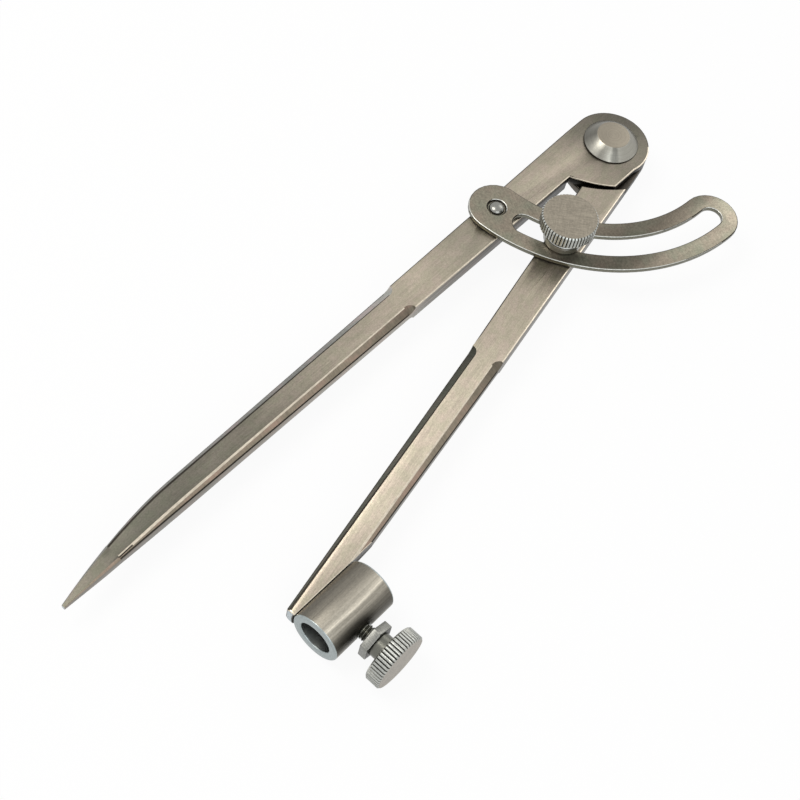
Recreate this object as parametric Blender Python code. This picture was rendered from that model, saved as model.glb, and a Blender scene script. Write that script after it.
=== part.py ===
"""Carpenter pencil compass: two flat steel legs on a lap hinge, a slotted arc wing and a pencil sleeve.

Metres, +Z up. The legs lie flat. The hinge axis is the Z axis, and the origin is on the flat face of the
collar under the hinge. The point leg runs along -Y with its body at -X, and its inner edge is on the
line x = 0. The pencil leg is opened by OPENING, towards +X, as the photograph shows it.
"""
import math
from collections import namedtuple

import bmesh
import bpy
from mathutils import Vector

# Clearances
SEAT_GAP = 0.0001          # between faces that lie on each other
RUNNING_FIT = 0.00005      # round a shaft in its hole, on the radius
SADDLE_GAP = 0.00015       # between the pencil leg and the sleeve that it is fixed to
CLOSING_GAP = 0.0001       # from each leg's inner edge to the line on which closed legs meet
SHOULDER_PLAY = 0.0006     # from a lap's slanting edge to the other leg's shoulder
OVERCUT = 0.001            # how far a cutter reaches past what it cuts

# Legs
OPENING = math.radians(12.287)
LEG_THICKNESS = 0.0048
LEG_WIDTH = 0.0103         # at the head, and the radius of the round head
NOTCH_DEPTH = 0.01725      # hinge axis to the notch between the laps
FLANGE_STEP = 0.0003       # how far the lap's far side stays inside the round head
FLANGE_CORNER = 0.0109     # hinge axis down to the corner of the lap's far side
SLANT_BULGE = 0.0006       # height of the slanting edge's bow
POINT_TAPER_SHARE = 0.0229      # width that the point leg loses per length
POINT_TAPER_START = 0.0065      # from the hinge axis down the point leg
PENCIL_TAPER_SHARE = 0.0252
PENCIL_TAPER_START = 0.0043
PENCIL_LOWER_TAPER_SHARE = 0.0143      # width that it loses besides, per length below the bevels' start
PENCIL_LEAN_SHARE = 0.0148      # how far the inner edge moves inward per length, below the bevels' start

# Ground point
POINT_START = 0.1530
POINT_END = 0.1883
TIP_OUTER = 0.0012         # outer corner of the blunt tip, from the centre line
TIP_INNER = 0.0003         # inner corner of the blunt tip
TIP_THICKNESS = 0.0011
POINT_POWER = 1.60         # how full the curve of the point is
POINT_STATIONS = 9

# Long bevels
BEVEL_START = 0.0775
BEVEL_NOSE = 0.0023        # length of the rounded end of each bevel
BEVEL_WIDTH = 0.0019
BEVEL_DEPTH = 0.0015
BEVEL_FINISH_SHARE = 0.35  # what is left of the bevel at the end of the leg
NOSE_STATIONS = 6

# Hinge
CONE_BASE_RADIUS = 0.00731
CONE_TOP_RADIUS = 0.00428
CONE_HEIGHT = 0.00306
CONE_RIM = 0.0003
HINGE_SHANK_RADIUS = 0.0030
SHANK_RECESS = 0.0002

# Wing
WING_RIVET = (-0.00595, -0.0405)
WING_THICKNESS = 0.0013
WING_LIFT = 0.00017        # play between the legs and the wing
WING_MIDDLE_RADIUS = 0.0416
WING_WIDTH = 0.0145
SLOT_WIDTH = 0.0057
SLOT_START_TURN = math.radians(11.15)   # about the arc's centre, from the rivet
SLOT_END_TURN = math.radians(84.6)
WING_END_TURN = math.radians(84.3)
LOCK_OFFSET = 0.0002       # lock screw's axis outside the arc's middle line
WING_ARC_STEPS = 36
RIVET_SHANK_RADIUS = 0.0013
RIVET_HEAD_RADIUS = 0.0020
RIVET_HEAD_HEIGHT = 0.0012
RIVET_POCKET_RADIUS = 0.00245
RIVET_POCKET_DEPTH = 0.0006

# Thumb screws
KNOB_RADIUS = 0.00715
KNOB_HEIGHT = 0.0038
KNOB_CHAMFER = 0.00035
KNURL_DEPTH = 0.00034
KNURL_RIBS = 52
HUB_RADIUS = 0.0030
HUB_LENGTH = 0.0026
STUD_RADIUS = 0.0020
STUD_CHAMFER = 0.0003
STUD_SOCKET_DEPTH = 0.0044
LOCK_POSITION = (0.01181, -0.03580)
LOCK_LIFT = 0.0014         # how far the lock screw backs out
NECK_RADIUS = 0.0016
WASHER_RADIUS = 0.0050
WASHER_HEIGHT = 0.0027
WASHER_CHAMFER = 0.0003

# Pencil sleeve and its clamp screw
SLEEVE_FRONT = (0.04114, -0.15587)
SLEEVE_LENGTH = 0.01845
SLEEVE_RADIUS = 0.00631
BORE_RADIUS = 0.004115
SLEEVE_CHAMFER = 0.0003
CLAMP_SETBACK = 0.00895    # sleeve's front face to the clamp screw's axis
TIP_SETBACK = 0.0001       # clamp screw's end to the bore's wall
NUT_DISTANCE = 0.00835     # sleeve's axis to the near face of the nut
NUT_THICKNESS = 0.0020
NUT_FLATS = 0.0080
NUT_CORNER_SHARE = 0.04    # how much of the corners' radius the nut's chamfer takes off

# Facets
ROUND_SEGMENTS = 64
SMALL_SEGMENTS = 32
HEAD_ARC_STEPS = 36
SLANT_STEPS = 8
END_ARC_STEPS = 14
SHARP_ANGLE = math.radians(28)

# What differs between the legs. Side is -1 where the body lies at -X of the inner edge, or 1.
Leg = namedtuple("Leg", "name side taper_share taper_start lower_taper_share lean_share end pointed")
PENCIL_LEG_END = -SLEEVE_FRONT[1] / math.cos(OPENING) + SLEEVE_RADIUS
POINT_LEG = Leg("point_leg", -1, POINT_TAPER_SHARE, POINT_TAPER_START, 0, 0, POINT_END, True)
PENCIL_LEG = Leg("pencil_leg", 1, PENCIL_TAPER_SHARE, PENCIL_TAPER_START, PENCIL_LOWER_TAPER_SHARE,
                 PENCIL_LEAN_SHARE, PENCIL_LEG_END, False)

# Levels
LEG_BOTTOM = CONE_HEIGHT
LEG_MIDDLE = LEG_BOTTOM + LEG_THICKNESS / 2
LEG_TOP = LEG_BOTTOM + LEG_THICKNESS
WING_BOTTOM = LEG_TOP + WING_LIFT
WING_TOP = WING_BOTTOM + WING_THICKNESS

# Colours, from the photograph, with roughness
GROUND_STEEL = ((0.40, 0.36, 0.31), 0.38)
DARK_STEEL = ((0.28, 0.27, 0.23), 0.40)
TURNED_STEEL = ((0.46, 0.42, 0.37), 0.28)
BRIGHT_STEEL = ((0.58, 0.57, 0.54), 0.25)


def steel(name, colour_and_roughness):
    """A metallic Principled material."""
    colour, roughness = colour_and_roughness
    material = bpy.data.materials.new(name)
    material.use_nodes = True
    shader = material.node_tree.nodes["Principled BSDF"]
    shader.inputs["Base Color"].default_value = (*colour, 1)
    shader.inputs["Metallic"].default_value = 1
    shader.inputs["Roughness"].default_value = roughness
    return material


def add_object(name, mesh_source, material=None):
    """An object from a bmesh, which is freed. Without a material it is a cutter."""
    bmesh.ops.recalc_face_normals(mesh_source, faces=mesh_source.faces)
    mesh = bpy.data.meshes.new(name)
    mesh_source.to_mesh(mesh)
    mesh_source.free()
    mesh.shade_smooth()
    mesh.set_sharp_from_angle(angle=SHARP_ANGLE)
    item = bpy.data.objects.new(name, mesh)
    bpy.context.scene.collection.objects.link(item)
    if material:
        mesh.materials.append(steel(name, material))
    else:
        item.hide_render = True
        item.display_type = 'WIRE'
    return item


def combine(item, tool, operation='DIFFERENCE'):
    """A live Boolean of the item with a hidden tool object."""
    modifier = item.modifiers.new(tool.name, 'BOOLEAN')
    modifier.operation = operation
    modifier.solver = 'EXACT'
    modifier.object = tool


def on_circle(centre, radius, angle):
    """The point of a circle in the plane at an angle from +X."""
    return centre[0] + radius * math.cos(angle), centre[1] + radius * math.sin(angle)


def arc(centre, radius, start, end, steps):
    """Points of an arc, both ends included."""
    angles = [start + (end - start) * step / steps for step in range(steps + 1)]
    return [on_circle(centre, radius, angle) for angle in angles]


def prism(outline, bottom, top):
    """An upright prism over an outline."""
    solid = bmesh.new()
    floor = solid.faces.new([solid.verts.new((x, y, bottom)) for x, y in outline])
    walls = bmesh.ops.extrude_face_region(solid, geom=[floor])["geom"]
    lifted = [element for element in walls if isinstance(element, bmesh.types.BMVert)]
    bmesh.ops.translate(solid, verts=lifted, vec=(0, 0, top - bottom))
    return solid


def turned(profile, segments):
    """A solid of revolution round Z. The profile runs from its foot to its top, as radius and height."""
    solid = bmesh.new()
    rings = []
    for radius, height in profile:
        count = segments if radius else 1
        circle = [on_circle((0, 0), radius, math.tau * step / segments) for step in range(count)]
        rings.append([solid.verts.new((x, y, height)) for x, y in circle])
    closed = bool(profile[0][0])
    pairs = list(zip(rings, rings[1:]))
    if closed:
        pairs.append((rings[-1], rings[0]))
    for lower, upper in pairs:
        join_rings(solid, lower, upper, segments)
    return solid


def join_rings(solid, lower, upper, segments):
    """Faces between two rings, either of which may be one point on the axis."""
    for step in range(segments):
        after = (step + 1) % segments
        if len(lower) == 1:
            solid.faces.new((lower[0], upper[after], upper[step]))
        elif len(upper) == 1:
            solid.faces.new((lower[step], lower[after], upper[0]))
        else:
            solid.faces.new((lower[step], lower[after], upper[after], upper[step]))


def lofted(sections):
    """A closed solid through sections with equal numbers of points."""
    solid = bmesh.new()
    rings = [[solid.verts.new(point) for point in section] for section in sections]
    for lower, upper in zip(rings, rings[1:]):
        join_rings(solid, lower, upper, len(lower))
    solid.faces.new(reversed(rings[0]))
    solid.faces.new(rings[-1])
    return solid


def rod(radius, start, end, segments=SMALL_SEGMENTS):
    """A plain cylinder on the Z axis."""
    return turned([(0, start), (radius, start), (radius, end), (0, end)], segments)


def point_progress(distance):
    """0 above the ground point, rising along a full curve to 1 at its tip."""
    share = (distance - POINT_START) / (POINT_END - POINT_START)
    return max(0, share) ** POINT_POWER


def leg_edges(leg, distance):
    """Inner edge, outer edge and half the thickness of a leg at a distance from the hinge."""
    progress = point_progress(distance) if leg.pointed else 0
    straight = min(distance, POINT_START) if leg.pointed else distance
    below_start = max(0, straight - BEVEL_START)
    inner = CLOSING_GAP - leg.lean_share * below_start
    outer = LEG_WIDTH - leg.taper_share * max(0, straight - leg.taper_start) - leg.lower_taper_share * below_start
    inner += (TIP_INNER - inner) * progress
    outer += (TIP_OUTER - outer) * progress
    half = (LEG_THICKNESS + (TIP_THICKNESS - LEG_THICKNESS) * progress) / 2
    return inner, outer, half


def slanting_edge():
    """The lap's bowed lower edge, from the notch to the corner, for a lap that reaches to +X."""
    notch = Vector((0, -NOTCH_DEPTH))
    corner = Vector((LEG_WIDTH - FLANGE_STEP, -FLANGE_CORNER))
    along = corner - notch
    outward = Vector((along.y, -along.x)).normalized()
    points = []
    for step in range(SLANT_STEPS + 1):
        share = step / SLANT_STEPS
        bow = SLANT_BULGE * (1 - (2 * share - 1) ** 2)
        points.append(notch + along * share + outward * bow)
    return points


def leg_outline(leg):
    """Outline of a leg with its body at -X, down to its end or to the start of its ground point."""
    first = POINT_START if leg.pointed else leg.end
    head_angle = math.acos(1 - FLANGE_STEP / LEG_WIDTH)
    outline = slanting_edge()
    outline += [Vector(point) for point in arc((0, 0), LEG_WIDTH, -head_angle, math.pi, HEAD_ARC_STEPS)]
    outline.append(Vector((-LEG_WIDTH, -leg.taper_start)))
    distances = (first,) if leg.pointed else (BEVEL_START, first)
    bends = [(distance, *leg_edges(leg, distance)) for distance in distances]
    outline += [Vector((-outer, -distance)) for distance, _, outer, _ in bends]
    outline += [Vector((-inner, -distance)) for distance, inner, _, _ in reversed(bends)]
    outline.append(Vector((-CLOSING_GAP, -NOTCH_DEPTH - CLOSING_GAP)))
    return outline


def leg_blank(leg):
    """The leg before its laps, holes and bevels are cut."""
    outline = leg_outline(leg)
    lowest = min(point.y for point in outline)
    solid = bmesh.new()
    rims = []
    for level in (LEG_TOP, LEG_BOTTOM):
        verts = [solid.verts.new((-leg.side * point.x, point.y, level)) for point in outline]
        solid.faces.new(verts)
        rims.append(verts)
    upper, lower = rims
    for index, point in enumerate(outline):
        before = index - 1
        ring = (upper[before], upper[index], lower[index], lower[before])
        if leg.pointed and point.y == outline[before].y == lowest:
            add_point(solid, leg, (upper[index], upper[before], lower[before], lower[index]))
        else:
            solid.faces.new(ring)
    return solid


def add_point(solid, leg, ring):
    """Lofts the ground point on to the open end of the leg."""
    for station in range(1, POINT_STATIONS + 1):
        distance = POINT_START + (POINT_END - POINT_START) * station / POINT_STATIONS
        inner, outer, half = leg_edges(leg, distance)
        corners = [(inner, half), (outer, half), (outer, -half), (inner, -half)]
        following = [solid.verts.new((leg.side * x, -distance, LEG_MIDDLE + z)) for x, z in corners]
        join_rings(solid, ring, following, len(ring))
        ring = following
    solid.faces.new(ring)


def lap_cutter(leg, upward):
    """Takes away one half of the leg's thickness on the hinge side of its shoulder."""
    grown = [point * (1 + SHOULDER_PLAY / point.length) for point in slanting_edge()]
    shoulder = [(leg.side * point.x, point.y) for point in grown]
    reach = LEG_WIDTH + OVERCUT
    far = leg.side * reach
    outline = shoulder + [(far, shoulder[-1][1]), (far, reach), (-far, reach), (-far, shoulder[0][1])]
    if upward:
        levels = (LEG_MIDDLE - SEAT_GAP / 2, LEG_TOP + OVERCUT)
    else:
        levels = (LEG_BOTTOM - OVERCUT, LEG_MIDDLE + SEAT_GAP / 2)
    return add_object(f"cut_{leg.name}_lap_space", prism(outline, *levels))


def bevel_section(leg, outer_edge, upward, distance, growth):
    """Triangle outside a bevel's plane, at one distance from the hinge."""
    inner, outer, half = leg_edges(leg, distance)
    progress = (distance - BEVEL_START) / (leg.end - BEVEL_START)
    share = growth * (1 + (BEVEL_FINISH_SHARE - 1) * progress) * half / (LEG_THICKNESS / 2)
    inward = -1 if outer_edge else 1
    up = 1 if upward else -1
    edge = Vector((outer if outer_edge else inner, up * half))
    on_face = edge + Vector((inward * BEVEL_WIDTH * share, 0))
    on_side = edge - Vector((0, up * BEVEL_DEPTH * share))
    past = Vector((inward * BEVEL_WIDTH, up * BEVEL_DEPTH))
    outside = edge + Vector((-inward * BEVEL_WIDTH, up * BEVEL_DEPTH))
    points = (on_face + past, on_side - past, outside)
    return [(leg.side * point.x, -distance, LEG_MIDDLE + point.y) for point in points]


def bevel_cutter(name, leg, outer_edge, upward):
    """Cuts one long bevel, with a rounded nose where it starts."""
    stations = []
    for station in range(NOSE_STATIONS + 1):
        turn = math.pi / 2 * station / NOSE_STATIONS
        growth = math.sin(turn) if station else -SEAT_GAP / BEVEL_WIDTH
        stations.append((BEVEL_START + BEVEL_NOSE * (1 - math.cos(turn)), growth))
    if leg.pointed:
        for station in range(POINT_STATIONS):
            stations.append((POINT_START + (leg.end - POINT_START) * station / POINT_STATIONS, 1))
    stations.append((leg.end, 1))
    sections = [bevel_section(leg, outer_edge, upward, *station) for station in stations]
    sections.append([(x, y - OVERCUT, z) for x, y, z in sections[-1]])
    return add_object(name, lofted(sections))


def cut_bevels(item, leg):
    """The four long bevels of a leg."""
    for edge_name, outer_edge in (("inner", False), ("outer", True)):
        for face_name, upward in (("upper", True), ("lower", False)):
            cutter = bevel_cutter(f"cut_{leg.name}_{edge_name}_{face_name}", leg, outer_edge, upward)
            cutter.rotation_euler = item.rotation_euler
            combine(item, cutter)


def cut_hole(item, name, radius, position, levels):
    """A round hole along Z through an item."""
    bottom, top = levels
    cutter = add_object(name, rod(radius, bottom - OVERCUT, top + OVERCUT))
    cutter.location = (*position, 0)
    combine(item, cutter)


def wing_centre():
    """The centre of the arc whose middle line runs over the rivet and past the lock screw."""
    rivet = Vector(WING_RIVET)
    across = Vector(LOCK_POSITION) - rivet
    spread = across.length
    to_lock = WING_MIDDLE_RADIUS + LOCK_OFFSET
    along = (WING_MIDDLE_RADIUS ** 2 - to_lock ** 2 + spread ** 2) / (2 * spread)
    height = math.sqrt(WING_MIDDLE_RADIUS ** 2 - along ** 2)
    return rivet + across.normalized() * along + Vector((-across.y, across.x)).normalized() * height


def make_point_leg():
    """The leg with the upper lap and the ground point."""
    leg = add_object(POINT_LEG.name, leg_blank(POINT_LEG), GROUND_STEEL)
    combine(leg, lap_cutter(POINT_LEG, False))
    levels = (LEG_BOTTOM, LEG_TOP)
    cut_hole(leg, "cut_point_leg_hinge", HINGE_SHANK_RADIUS + RUNNING_FIT, (0, 0), levels)
    cut_hole(leg, "cut_point_leg_rivet", RIVET_SHANK_RADIUS + RUNNING_FIT, WING_RIVET, levels)
    cut_bevels(leg, POINT_LEG)


def make_pencil_leg():
    """The leg with the lower lap, cut flush and hollowed where it meets the sleeve."""
    leg = add_object(PENCIL_LEG.name, leg_blank(PENCIL_LEG), GROUND_STEEL)
    leg.rotation_euler.z = OPENING
    space = lap_cutter(PENCIL_LEG, True)
    space.rotation_euler.z = OPENING
    combine(leg, space)
    levels = (LEG_BOTTOM, LEG_TOP)
    cut_hole(leg, "cut_pencil_leg_hinge", HINGE_SHANK_RADIUS + RUNNING_FIT, (0, 0), levels)
    cut_hole(leg, "cut_pencil_leg_thread", STUD_RADIUS + RUNNING_FIT, LOCK_POSITION, levels)
    cut_bevels(leg, PENCIL_LEG)
    saddle = add_object("cut_saddle", rod(SLEEVE_RADIUS + SADDLE_GAP, -SLEEVE_LENGTH, SLEEVE_LENGTH * 2,
                                          ROUND_SEGMENTS))
    lay_along_sleeve(saddle)
    combine(leg, saddle)
    far = LEG_WIDTH + SLEEVE_FRONT[0]
    front = SLEEVE_FRONT[1]
    square = [(0, front), (far, front), (far, front * 2), (0, front * 2)]
    end_cut = add_object("cut_leg_end", prism(square, LEG_BOTTOM - OVERCUT, LEG_TOP + OVERCUT))
    combine(leg, end_cut)


def lay_along_sleeve(item):
    """Turns an item that was made on the Z axis on to the sleeve's axis, from its front face back."""
    item.rotation_euler.x = -math.pi / 2
    item.location = (*SLEEVE_FRONT, LEG_MIDDLE)


def make_hinge():
    """The rivet with its conical head, and the matching collar on which its shank is set."""
    under_head = LEG_TOP + SEAT_GAP / 2
    head_top = LEG_TOP + CONE_HEIGHT
    profile = [(0, 0), (HINGE_SHANK_RADIUS, 0), (HINGE_SHANK_RADIUS, under_head),
               (CONE_BASE_RADIUS, under_head), (CONE_BASE_RADIUS, under_head + CONE_RIM),
               (CONE_TOP_RADIUS, head_top), (0, head_top)]
    add_object("hinge_rivet", turned(profile, ROUND_SEGMENTS), TURNED_STEEL)
    bore = HINGE_SHANK_RADIUS + RUNNING_FIT
    seat = LEG_BOTTOM - SEAT_GAP
    profile = [(bore, 0), (CONE_TOP_RADIUS, 0), (CONE_BASE_RADIUS, seat - CONE_RIM),
               (CONE_BASE_RADIUS, seat), (bore, seat)]
    add_object("hinge_rear_collar", turned(profile, ROUND_SEGMENTS), TURNED_STEEL)


def band_outline(width, first_turn, last_turn):
    """Outline of a curved band with round ends, about the wing's centre. The turns count from the rivet."""
    centre = wing_centre()
    across = Vector(WING_RIVET) - centre
    rivet_angle = math.atan2(across.y, across.x)
    start = rivet_angle + first_turn
    end = rivet_angle + last_turn
    half = width / 2
    outline = arc(centre, WING_MIDDLE_RADIUS + half, start, end, WING_ARC_STEPS)
    middle = on_circle(centre, WING_MIDDLE_RADIUS, end)
    outline += arc(middle, half, end, end + math.pi, END_ARC_STEPS)[1:-1]
    outline += arc(centre, WING_MIDDLE_RADIUS - half, end, start, WING_ARC_STEPS)
    middle = on_circle(centre, WING_MIDDLE_RADIUS, start)
    outline += arc(middle, half, start + math.pi, start + math.tau, END_ARC_STEPS)[1:-1]
    return outline


def make_wing():
    """The slotted arc plate and the rivet that it swings on."""
    outline = band_outline(WING_WIDTH, 0, WING_END_TURN)
    wing = add_object("wing", prism(outline, WING_BOTTOM, WING_TOP), DARK_STEEL)
    slot = band_outline(SLOT_WIDTH, SLOT_START_TURN, SLOT_END_TURN)
    combine(wing, add_object("cut_slot", prism(slot, WING_BOTTOM - OVERCUT, WING_TOP + OVERCUT)))
    levels = (WING_BOTTOM, WING_TOP)
    cut_hole(wing, "cut_wing_rivet", RIVET_SHANK_RADIUS + RUNNING_FIT, WING_RIVET, levels)
    floor = WING_TOP - RIVET_POCKET_DEPTH
    pocket = add_object("cut_rivet_pocket", rod(RIVET_POCKET_RADIUS, floor, WING_TOP + OVERCUT))
    pocket.location = (*WING_RIVET, 0)
    combine(wing, pocket)
    foot = floor + RUNNING_FIT
    profile = [(0, LEG_BOTTOM + SHANK_RECESS), (RIVET_SHANK_RADIUS, LEG_BOTTOM + SHANK_RECESS),
               (RIVET_SHANK_RADIUS, foot)]
    profile += arc((0, foot), RIVET_HEAD_RADIUS, 0, math.pi / 2, SLANT_STEPS)
    squash = RIVET_HEAD_HEIGHT / RIVET_HEAD_RADIUS
    dome = [(radius, foot + (height - foot) * squash) for radius, height in profile[3:-1]]
    profile = profile[:3] + dome + [(0, foot + RIVET_HEAD_HEIGHT)]
    rivet = add_object("wing_rivet", turned(profile, SMALL_SEGMENTS), BRIGHT_STEEL)
    rivet.location = (*WING_RIVET, 0)


def knob_solid():
    """A knurled head over a hub, with a blind socket for its stud. Its foot is at the origin."""
    solid = bmesh.new()
    points = KNURL_RIBS * 2
    root = KNOB_RADIUS - KNURL_DEPTH
    rim = root - KNURL_DEPTH / 2
    socket = STUD_RADIUS + RUNNING_FIT
    head = HUB_LENGTH
    top = HUB_LENGTH + KNOB_HEIGHT
    levels = [(socket, socket, STUD_SOCKET_DEPTH), (socket, socket, 0), (HUB_RADIUS, HUB_RADIUS, 0),
              (HUB_RADIUS, HUB_RADIUS, head), (rim, rim, head), (KNOB_RADIUS, root, head + KNOB_CHAMFER),
              (KNOB_RADIUS, root, top - KNOB_CHAMFER), (rim, rim, top)]
    rings = []
    for crest, valley, height in levels:
        radii = (crest, valley) * KNURL_RIBS
        circle = [on_circle((0, 0), radii[step], math.tau * step / points) for step in range(points)]
        rings.append([solid.verts.new((x, y, height)) for x, y in circle])
    for lower, upper in zip(rings, rings[1:]):
        join_rings(solid, lower, upper, points)
    solid.faces.new(rings[0])
    solid.faces.new(rings[-1])
    return solid


def stud_profile(foot, top, neck=None):
    """Profile of a stud with chamfered ends, and a thinner neck between two heights if it has one."""
    profile = [(0, foot), (STUD_RADIUS - STUD_CHAMFER, foot), (STUD_RADIUS, foot + STUD_CHAMFER)]
    if neck:
        step = STUD_RADIUS - NECK_RADIUS
        profile += [(STUD_RADIUS, neck[0] - step), (NECK_RADIUS, neck[0])]
        profile += [(NECK_RADIUS, neck[1]), (STUD_RADIUS, neck[1] + step)]
    profile += [(STUD_RADIUS, top - STUD_CHAMFER), (STUD_RADIUS - STUD_CHAMFER, top), (0, top)]
    return profile


def make_lock_screw():
    """The screw that locks the wing on the pencil leg, with its clamp washer."""
    washer_foot = WING_TOP + SEAT_GAP
    washer_top = washer_foot + WASHER_HEIGHT
    hub_foot = washer_top + SEAT_GAP
    bore = STUD_RADIUS + RUNNING_FIT
    rim = WASHER_RADIUS - WASHER_CHAMFER
    profile = [(bore, washer_foot), (rim, washer_foot), (WASHER_RADIUS, washer_foot + WASHER_CHAMFER),
               (WASHER_RADIUS, washer_top - WASHER_CHAMFER), (rim, washer_top), (bore, washer_top)]
    washer = add_object("wing_clamp_washer", turned(profile, ROUND_SEGMENTS), TURNED_STEEL)
    neck = (LEG_TOP - LOCK_LIFT - SEAT_GAP, WING_TOP)
    top = hub_foot + STUD_SOCKET_DEPTH - SEAT_GAP
    profile = stud_profile(LEG_BOTTOM + SHANK_RECESS, top, neck)
    stud = add_object("wing_lock_stud", turned(profile, SMALL_SEGMENTS), BRIGHT_STEEL)
    knob = add_object("wing_lock_knob", knob_solid(), BRIGHT_STEEL)
    for item in (washer, stud):
        item.location = (*LOCK_POSITION, 0)
    knob.location = (*LOCK_POSITION, hub_foot)


def lay_along_clamp(item, distance):
    """Turns an item that was made on the Z axis on to the clamp screw's axis, out from the sleeve."""
    item.rotation_euler.y = math.pi / 2
    item.location = (SLEEVE_FRONT[0] + distance, SLEEVE_FRONT[1] + CLAMP_SETBACK, LEG_MIDDLE)


def make_sleeve():
    """The tube for the pencil, with the threaded hole of the clamp screw."""
    outer = SLEEVE_RADIUS
    length = SLEEVE_LENGTH
    chamfer = SLEEVE_CHAMFER
    profile = [(BORE_RADIUS + chamfer, 0), (outer - chamfer, 0), (outer, chamfer),
               (outer, length - chamfer), (outer - chamfer, length), (BORE_RADIUS + chamfer, length),
               (BORE_RADIUS, length - chamfer), (BORE_RADIUS, chamfer)]
    sleeve = add_object("pencil_sleeve", turned(profile, ROUND_SEGMENTS), TURNED_STEEL)
    lay_along_sleeve(sleeve)
    hole = add_object("cut_clamp_hole", rod(STUD_RADIUS + RUNNING_FIT, BORE_RADIUS / 2, outer + OVERCUT))
    lay_along_clamp(hole, 0)
    combine(sleeve, hole)


def make_clamp_screw():
    """The screw that clamps the pencil, and its lock nut."""
    tip = BORE_RADIUS + TIP_SETBACK
    hub_foot = NUT_DISTANCE + NUT_THICKNESS + SEAT_GAP
    top = hub_foot + STUD_SOCKET_DEPTH - SEAT_GAP
    stud = add_object("pencil_clamp_stud", turned(stud_profile(tip, top), SMALL_SEGMENTS), BRIGHT_STEEL)
    lay_along_clamp(stud, 0)
    knob = add_object("pencil_clamp_knob", knob_solid(), BRIGHT_STEEL)
    lay_along_clamp(knob, hub_foot)
    make_nut()


def make_nut():
    """The thin hexagonal lock nut, its corners turned off on both faces."""
    corner = NUT_FLATS / 2 / math.cos(math.pi / 6)
    hexagon = [on_circle((0, 0), corner, math.tau * step / 6) for step in range(6)]
    nut = add_object("clamp_lock_nut", prism(hexagon, 0, NUT_THICKNESS), BRIGHT_STEEL)
    lay_along_clamp(nut, NUT_DISTANCE)
    rim = corner * (1 - NUT_CORNER_SHARE)
    past = corner + OVERCUT
    profile = [(0, 0), (rim, 0), (past, (past - rim) / 2), (past, NUT_THICKNESS - (past - rim) / 2),
               (rim, NUT_THICKNESS), (0, NUT_THICKNESS)]
    turned_limit = add_object("cut_nut_corners", turned(profile, ROUND_SEGMENTS))
    lay_along_clamp(turned_limit, NUT_DISTANCE)
    combine(nut, turned_limit, 'INTERSECT')
    bore = add_object("cut_nut_bore", rod(STUD_RADIUS + RUNNING_FIT, -OVERCUT, NUT_THICKNESS + OVERCUT))
    lay_along_clamp(bore, NUT_DISTANCE)
    combine(nut, bore)


def main():
    """Builds every piece in an empty scene."""
    for item in list(bpy.data.objects):
        bpy.data.objects.remove(item, do_unlink=True)
    make_point_leg()
    make_pencil_leg()
    make_hinge()
    make_wing()
    make_lock_screw()
    make_sleeve()
    make_clamp_screw()


main()
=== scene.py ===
"""Looks of a carpenter pencil compass, built round its solid model.

The file is laid out as an add-on and runs as a script. Each operator makes one piece or one group of
pieces and lets it ride on its body of the model. Lengths are in metres, +Z is up, and the origin is on
the hinge axis at the flat face of the collar under the hinge.
"""

import math

import bmesh
import bpy
from bpy.props import FloatProperty, FloatVectorProperty, IntProperty, PointerProperty
from mathutils import Matrix, Vector


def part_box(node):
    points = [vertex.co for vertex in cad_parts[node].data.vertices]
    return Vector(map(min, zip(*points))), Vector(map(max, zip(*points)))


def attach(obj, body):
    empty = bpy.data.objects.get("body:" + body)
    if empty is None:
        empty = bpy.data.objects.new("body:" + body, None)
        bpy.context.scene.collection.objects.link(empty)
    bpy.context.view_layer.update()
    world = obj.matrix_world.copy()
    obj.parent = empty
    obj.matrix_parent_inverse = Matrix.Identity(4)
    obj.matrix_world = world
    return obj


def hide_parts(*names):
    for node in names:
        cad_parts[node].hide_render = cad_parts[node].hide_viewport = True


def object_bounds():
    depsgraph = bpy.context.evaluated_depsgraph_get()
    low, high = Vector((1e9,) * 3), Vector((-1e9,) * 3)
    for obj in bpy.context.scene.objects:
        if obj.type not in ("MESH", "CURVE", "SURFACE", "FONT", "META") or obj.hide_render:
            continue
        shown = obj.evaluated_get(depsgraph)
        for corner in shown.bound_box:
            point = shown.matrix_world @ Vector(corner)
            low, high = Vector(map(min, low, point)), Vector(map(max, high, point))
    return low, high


bl_info = {
    "name": "Carpenter pencil compass",
    "version": (1, 0, 0),
    "blender": (4, 5, 0),
    "location": "3D View > Sidebar > Compass",
    "description": "Builds the looks of a carpenter pencil compass round its solid model",
    "category": "Add Mesh",
}

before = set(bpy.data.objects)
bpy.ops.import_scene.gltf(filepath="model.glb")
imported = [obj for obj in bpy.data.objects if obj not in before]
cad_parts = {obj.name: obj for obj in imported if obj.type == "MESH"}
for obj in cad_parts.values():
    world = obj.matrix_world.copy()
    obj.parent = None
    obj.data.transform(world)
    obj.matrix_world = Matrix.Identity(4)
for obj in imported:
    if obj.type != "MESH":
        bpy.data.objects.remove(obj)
CAD_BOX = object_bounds()

MERGE_DISTANCE = 0.000001
FLAT_ANGLE = math.radians(0.2)      # faces that meet at less become one
SMOOTH_ANGLE = math.radians(32)     # faces that meet at less are shaded as one
EDGE_ANGLE = math.radians(24)       # edges at which faces meet at more are worn

# Slots of the materials. The first three differ from piece to piece.
EDGE_SLOT = 3
FAR_BEVEL_SLOT = 4
PAINTED_SHADE_SLOT = 5
END_SLOT = 6

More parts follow.
